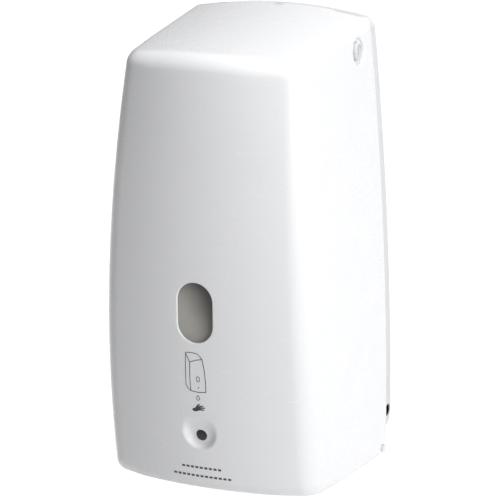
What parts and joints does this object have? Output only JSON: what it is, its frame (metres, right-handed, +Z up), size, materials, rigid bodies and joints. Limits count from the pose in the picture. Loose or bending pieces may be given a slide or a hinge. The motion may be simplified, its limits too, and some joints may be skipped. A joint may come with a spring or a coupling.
{
  "type": "wall mounted soap dispenser",
  "caption": "Tall bowed wall dispenser: a hinged glossy cover with a level window and hand sensor over a back plate, soap tank, hose pump, motor and battery bay.",
  "frame": {"origin": "on the back plate's wall face, half way across and half way up the cover", "axes": "+Z up, +Y into the wall, +X to the right of someone facing the dispenser"},
  "size_m": [0.1412, 0.1262, 0.27],
  "materials": {
    "cover_gloss": "white ABS with a satin gloss",
    "plate_white": "white ABS, fine grain",
    "inner_plastic": "light grey ABS, fine grain",
    "tank_plastic": "translucent polypropylene",
    "window_pane": "smoke-grey translucent polycarbonate",
    "dark_plastic": "black, polished",
    "black_rubber": "moulded rubber",
    "silicone": "translucent silicone",
    "steel": "bright zinc-plated steel",
    "brass": "machined",
    "acetal": "natural acetal",
    "circuit_board": "green solder mask",
    "cell_sleeve": "printed sleeve over a steel can"
  },
  "bodies": {
    "wall_unit": {"back_plate": "plate_white", "lock_keeper": "plate_white", "dc_jack": "dark_plastic", "hinge_pin_left": "acetal", "hinge_pin_right": "acetal", "tank_seat": "acetal", "drive_case": "inner_plastic", "drive_panel": "inner_plastic", "case_screw_1": "steel", "case_screw_2": "steel", "case_screw_3": "steel", "case_screw_4": "steel", "panel_screw_1": "steel", "panel_screw_2": "steel", "panel_screw_3": "steel", "panel_screw_4": "steel", "pump_housing": "acetal", "pump_cover": "acetal", "pump_hose": "silicone", "nozzle": "acetal", "nozzle_tip": "silicone", "gearbox_plate": "steel", "motor_can": "steel", "control_board": "circuit_board", "switch_board": "circuit_board", "sensor_board": "circuit_board", "ir_emitter": "dark_plastic", "ir_receiver": "dark_plastic", "battery_box": "dark_plastic", "contact_plate": "steel", "spring_contact": "steel", "battery_cell_1": "cell_sleeve", "battery_cell_2": "cell_sleeve", "battery_cell_3": "cell_sleeve", "battery_cell_4": "cell_sleeve"},
    "cover": {"front_cover": "cover_gloss", "sight_window": "window_pane", "sensor_lens": "dark_plastic", "lens_retainer": "inner_plastic", "lock_sleeve": "cover_gloss", "lock_nut": "steel"},
    "lock": {"lock_barrel": "cover_gloss", "lock_cam": "steel"},
    "tank": {"soap_tank": "tank_plastic", "outlet_seal": "black_rubber"},
    "cap": {"tank_cap": "inner_plastic", "tank_cap_seal": "silicone"},
    "valve": {"outlet_valve": "acetal"},
    "rotor": {"pump_rotor": "acetal", "rotor_cap": "acetal", "rotor_shaft": "steel", "output_gear": "acetal"},
    "roller_1": {"pump_roller_1": "steel"},
    "roller_2": {"pump_roller_2": "steel"},
    "roller_3": {"pump_roller_3": "steel"},
    "idler": {"idler_gear": "acetal"},
    "pinion": {"motor_pinion": "brass"},
    "door": {"battery_door": "inner_plastic"},
    "knob": {"switch_knob": "dark_plastic"},
    "button": {"dose_button": "black_rubber"}
  },
  "joints": [
    {"name": "cover_hinge", "type": "hinge", "parent": "wall_unit", "child": "cover", "pos_m": [0, -0.0145, -0.1295], "axis": [1, 0, 0], "range_deg": [0, 95]},
    {"name": "lock_turn", "type": "hinge", "parent": "cover", "child": "lock", "pos_m": [0.05, -0.0285, 0.113], "axis": [-1, 0, 0], "range_deg": [0, 90]},
    {"name": "tank_lift", "type": "slide", "parent": "wall_unit", "child": "tank", "axis": [0, 0, 1], "range_m": [0, 0.005]},
    {"name": "cap_turn", "type": "hinge", "parent": "tank", "child": "cap", "pos_m": [0, -0.06, 0.095], "axis": [0, 0, 1], "range_deg": [0, 90]},
    {"name": "valve_slide", "type": "slide", "parent": "tank", "child": "valve", "axis": [0, 0, 1], "range_m": [-0.005, 0]},
    {"name": "rotor_spin", "type": "hinge", "parent": "wall_unit", "child": "rotor", "pos_m": [-0.014, -0.065, -0.091], "axis": [0, 1, 0], "continuous": true},
    {"name": "roller_1_spin", "type": "hinge", "parent": "rotor", "child": "roller_1", "pos_m": [-0.014, -0.067, -0.084], "axis": [0, 1, 0], "continuous": true},
    {"name": "roller_2_spin", "type": "hinge", "parent": "rotor", "child": "roller_2", "pos_m": [-0.02006, -0.067, -0.0945], "axis": [0, 1, 0], "continuous": true},
    {"name": "roller_3_spin", "type": "hinge", "parent": "rotor", "child": "roller_3", "pos_m": [-0.00794, -0.067, -0.0945], "axis": [0, 1, 0], "continuous": true},
    {"name": "idler_spin", "type": "hinge", "parent": "wall_unit", "child": "idler", "pos_m": [-0.014, -0.054, -0.0749], "axis": [0, 1, 0], "continuous": true},
    {"name": "pinion_spin", "type": "hinge", "parent": "wall_unit", "child": "pinion", "pos_m": [0.0005, -0.054, -0.0749], "axis": [0, 1, 0], "continuous": true},
    {"name": "door_slide", "type": "slide", "parent": "wall_unit", "child": "door", "axis": [0, 0, 1], "range_m": [0, 0.003]},
    {"name": "switch_slide", "type": "slide", "parent": "wall_unit", "child": "knob", "axis": [1, 0, 0], "range_m": [0, 0.006]},
    {"name": "dose_press", "type": "slide", "parent": "wall_unit", "child": "button", "axis": [0, 1, 0], "range_m": [0, 0.001], "stiffness_N_per_m": 300}
  ],
  "couplings": [
    {"joint": "valve_slide", "follows": "tank_lift", "ratio": -1},
    {"joint": "roller_1_spin", "follows": "rotor_spin", "ratio": -3.0556},
    {"joint": "roller_2_spin", "follows": "rotor_spin", "ratio": -3.0556},
    {"joint": "roller_3_spin", "follows": "rotor_spin", "ratio": -3.0556},
    {"joint": "idler_spin", "follows": "rotor_spin", "ratio": -3},
    {"joint": "pinion_spin", "follows": "rotor_spin", "ratio": 9}
  ]
}
